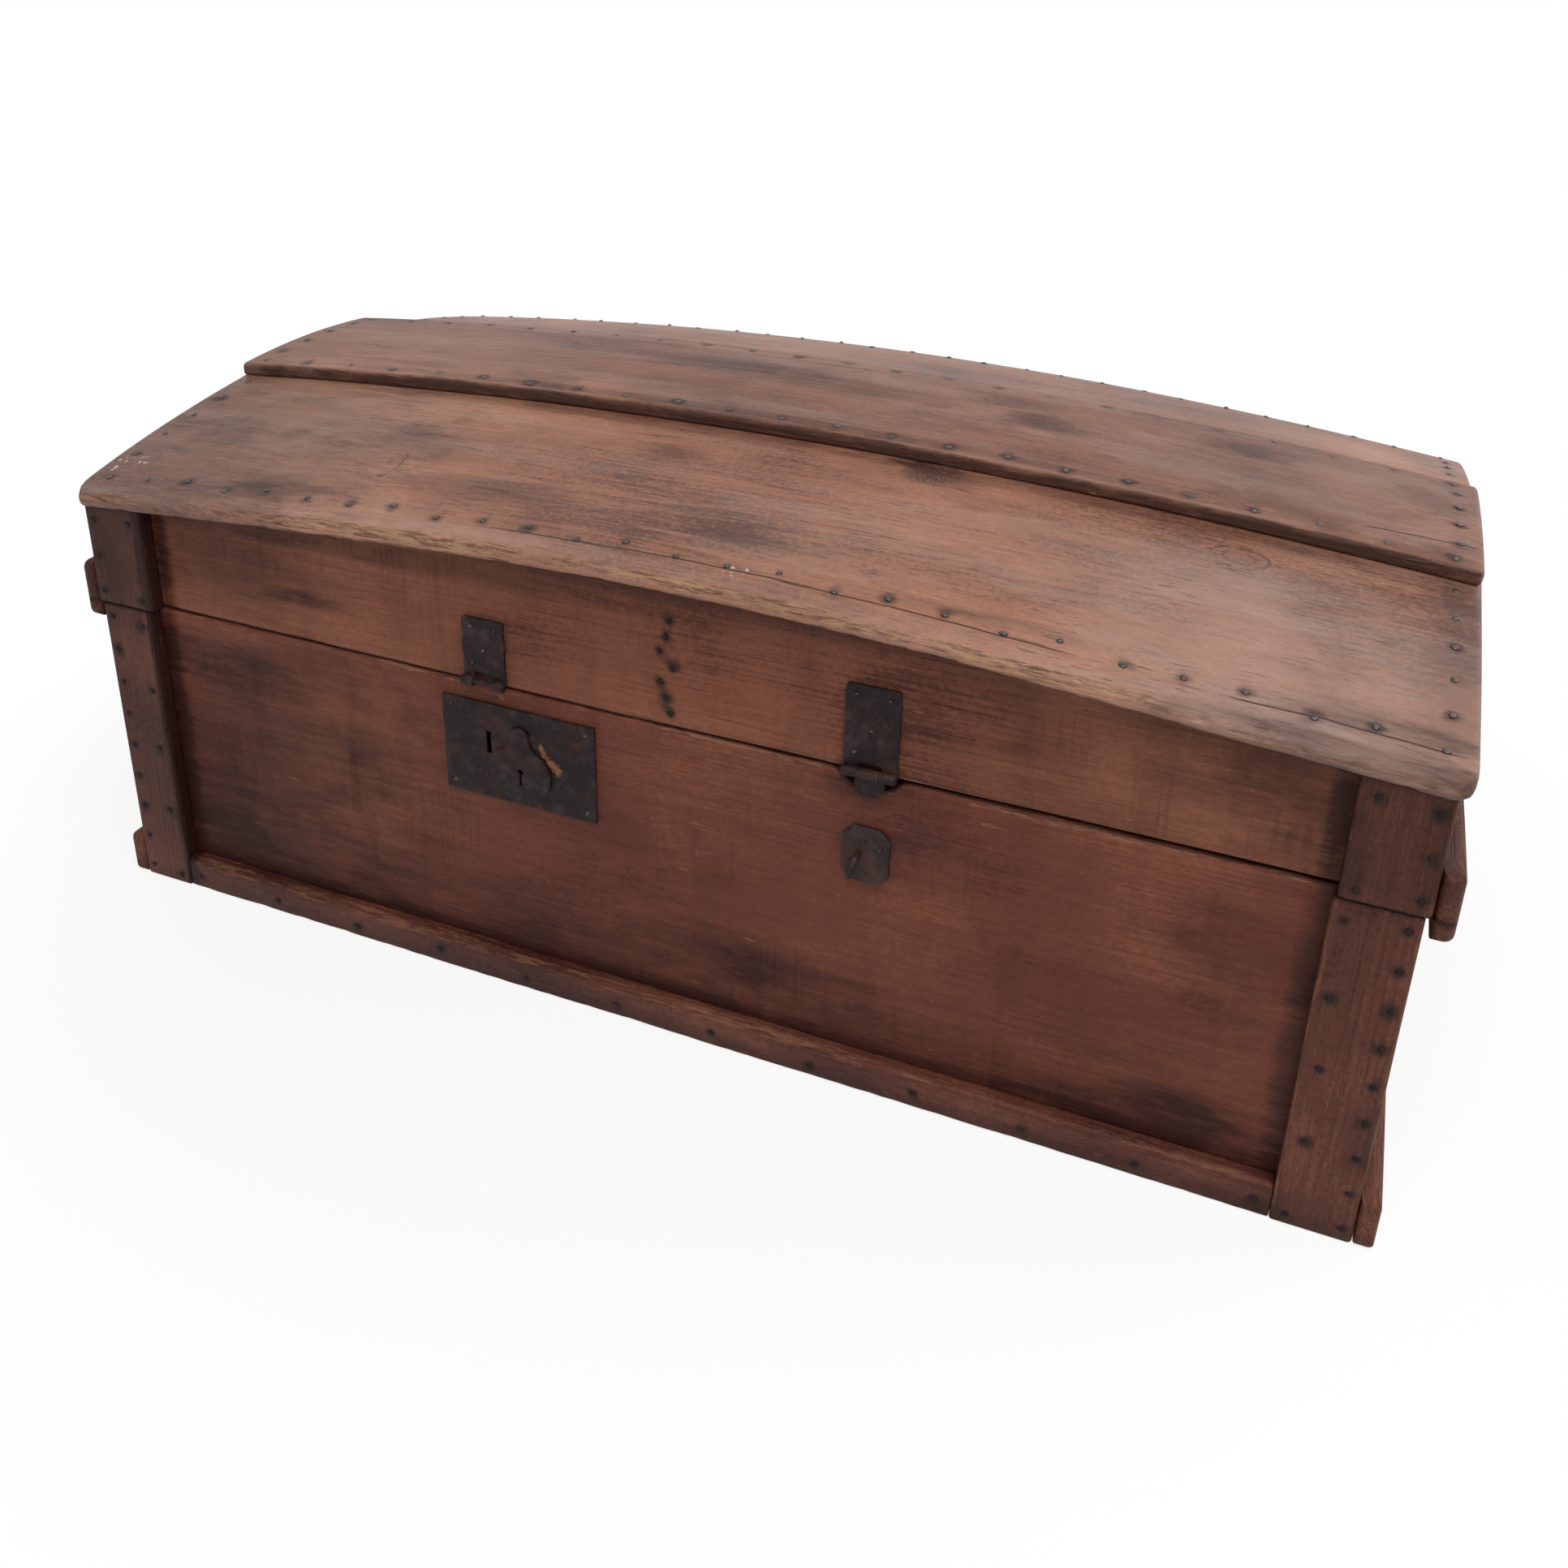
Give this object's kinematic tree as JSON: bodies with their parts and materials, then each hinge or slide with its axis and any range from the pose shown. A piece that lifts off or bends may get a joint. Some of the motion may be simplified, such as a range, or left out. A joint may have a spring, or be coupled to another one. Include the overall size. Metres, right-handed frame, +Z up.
{
  "type": "wooden trunk",
  "caption": "Long wooden trunk of nailed stained boards with a hinged domed lid, corner battens, end cleats, iron hasps and a lock plate with a swinging keyhole cover.",
  "frame": {"origin": "on the ground, under the middle of the overall box", "axes": "+X along the trunk to the right seen from the front, -Y to the front, +Z up"},
  "size_m": [1.1422, 0.626, 0.4802],
  "materials": {
    "stained_pine": "worn stain",
    "batten_pine": "worn stain",
    "bare_pine": "bare, aged",
    "black_iron": "forged, blackened",
    "nail_iron": "forged, blackened"
  },
  "bodies": {
    "carcass": {"back_board_nails": "nail_iron", "batten_corner_nails": "nail_iron", "batten_nails": "nail_iron", "bolt_keeper": "black_iron", "carcass_back_board": "stained_pine", "carcass_front_board": "stained_pine", "carcass_left_end": "stained_pine", "carcass_right_end": "stained_pine", "cover_rivet": "black_iron", "floor_board_front": "bare_pine", "floor_board_middle": "bare_pine", "floor_board_rear": "bare_pine", "floor_nails": "nail_iron", "foot_nails": "nail_iron", "front_foot_rail": "batten_pine", "front_left_batten": "batten_pine", "front_right_batten": "batten_pine", "hinge_lower_nails": "nail_iron", "left_foot_cleat": "batten_pine", "left_hinge_lower_leaf": "black_iron", "left_hinge_pin": "black_iron", "lock_case": "black_iron", "lock_plate": "black_iron", "plate_nails": "nail_iron", "rear_foot_rail": "batten_pine", "right_foot_cleat": "batten_pine", "right_hinge_lower_leaf": "black_iron", "right_hinge_pin": "black_iron", "staple_hook": "black_iron", "staple_plate": "black_iron"},
    "lid": {"cap_nails": "nail_iron", "hasp_nails": "nail_iron", "hinge_upper_nails": "nail_iron", "left_hasp_pin": "black_iron", "left_hasp_plate": "black_iron", "left_hinge_upper_leaf": "black_iron", "lid_back_board": "stained_pine", "lid_batten_nails": "nail_iron", "lid_cleat_nails": "nail_iron", "lid_front_board": "stained_pine", "lid_left_batten": "batten_pine", "lid_left_cleat": "batten_pine", "lid_left_end": "stained_pine", "lid_rib": "bare_pine", "lid_right_batten": "batten_pine", "lid_right_cleat": "batten_pine", "lid_right_end": "stained_pine", "lid_wall_nails": "nail_iron", "right_hasp_pin": "black_iron", "right_hasp_plate": "black_iron", "right_hinge_upper_leaf": "black_iron", "top_cap_board": "stained_pine", "top_edge_nails": "nail_iron", "top_end_nails": "nail_iron", "top_front_board": "stained_pine", "top_rear_board": "stained_pine"},
    "hasp_tongue": {"right_hasp_tongue": "black_iron"},
    "keyhole_cover": {"keyhole_cover": "black_iron"},
    "lock_bolt": {"lock_bolt": "black_iron"}
  },
  "joints": [
    {"name": "lid_hinge", "type": "hinge", "parent": "carcass", "child": "lid", "pos_m": [0, 0.2998, 0.2883], "axis": [-1, 0, 0], "range_deg": [0, 105]},
    {"name": "hasp_swing", "type": "hinge", "parent": "lid", "child": "hasp_tongue", "pos_m": [0.163, -0.2985, 0.2913], "axis": [-1, 0, 0], "range_deg": [0, 170]},
    {"name": "cover_swing", "type": "hinge", "parent": "carcass", "child": "keyhole_cover", "pos_m": [-0.136, -0.2973, 0.247], "axis": [0, 1, 0], "range_deg": [-75, 75]},
    {"name": "bolt_slide", "type": "slide", "parent": "carcass", "child": "lock_bolt", "axis": [-1, 0, 0], "range_m": [0, 0.014]}
  ]
}
